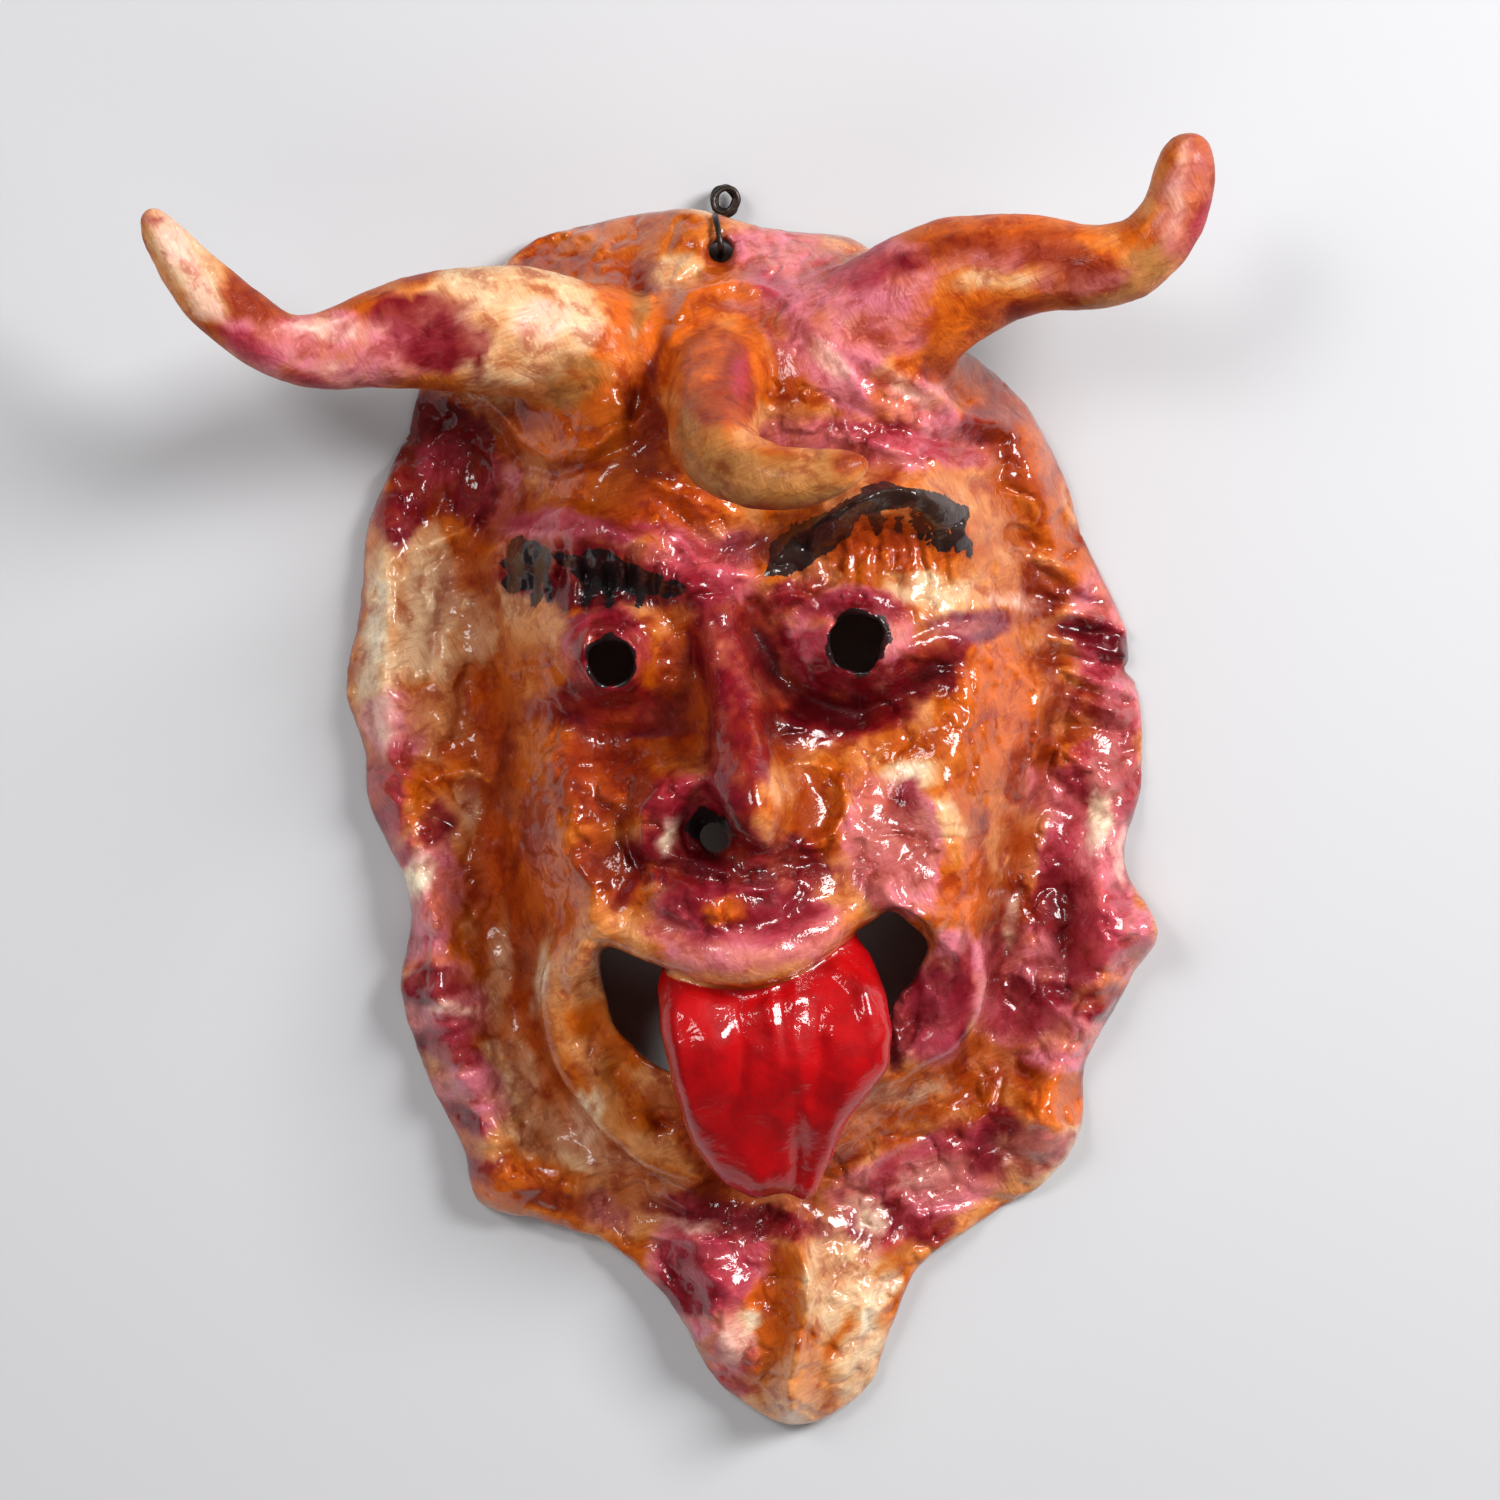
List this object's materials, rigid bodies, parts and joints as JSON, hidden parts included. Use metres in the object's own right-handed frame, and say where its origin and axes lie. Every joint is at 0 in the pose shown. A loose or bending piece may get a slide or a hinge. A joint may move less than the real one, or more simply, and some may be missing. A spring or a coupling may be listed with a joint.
{
  "type": "apotropaic mask",
  "caption": "Hand-modelled glazed clay mask of a horned devil's face with its tongue out, hollow behind, with a wire loop to hang it by.",
  "frame": {"origin": "under the middle of the part's box, on the surface that the mask lies on", "axes": "+Z out of the face, +Y towards the crown and the horns, +X to the right as one looks at the face"},
  "size_m": [0.2536, 0.315, 0.1116],
  "materials": {
    "glazed_clay": "glossy glaze brushed in burgundy, pink, cream and orange-brown, with a red tongue and black brows",
    "dark_steel": "dark annealed wire"
  },
  "bodies": {
    "root": {"mask": "glazed_clay", "hanging_wire": "dark_steel"}
  },
  "joints": []
}
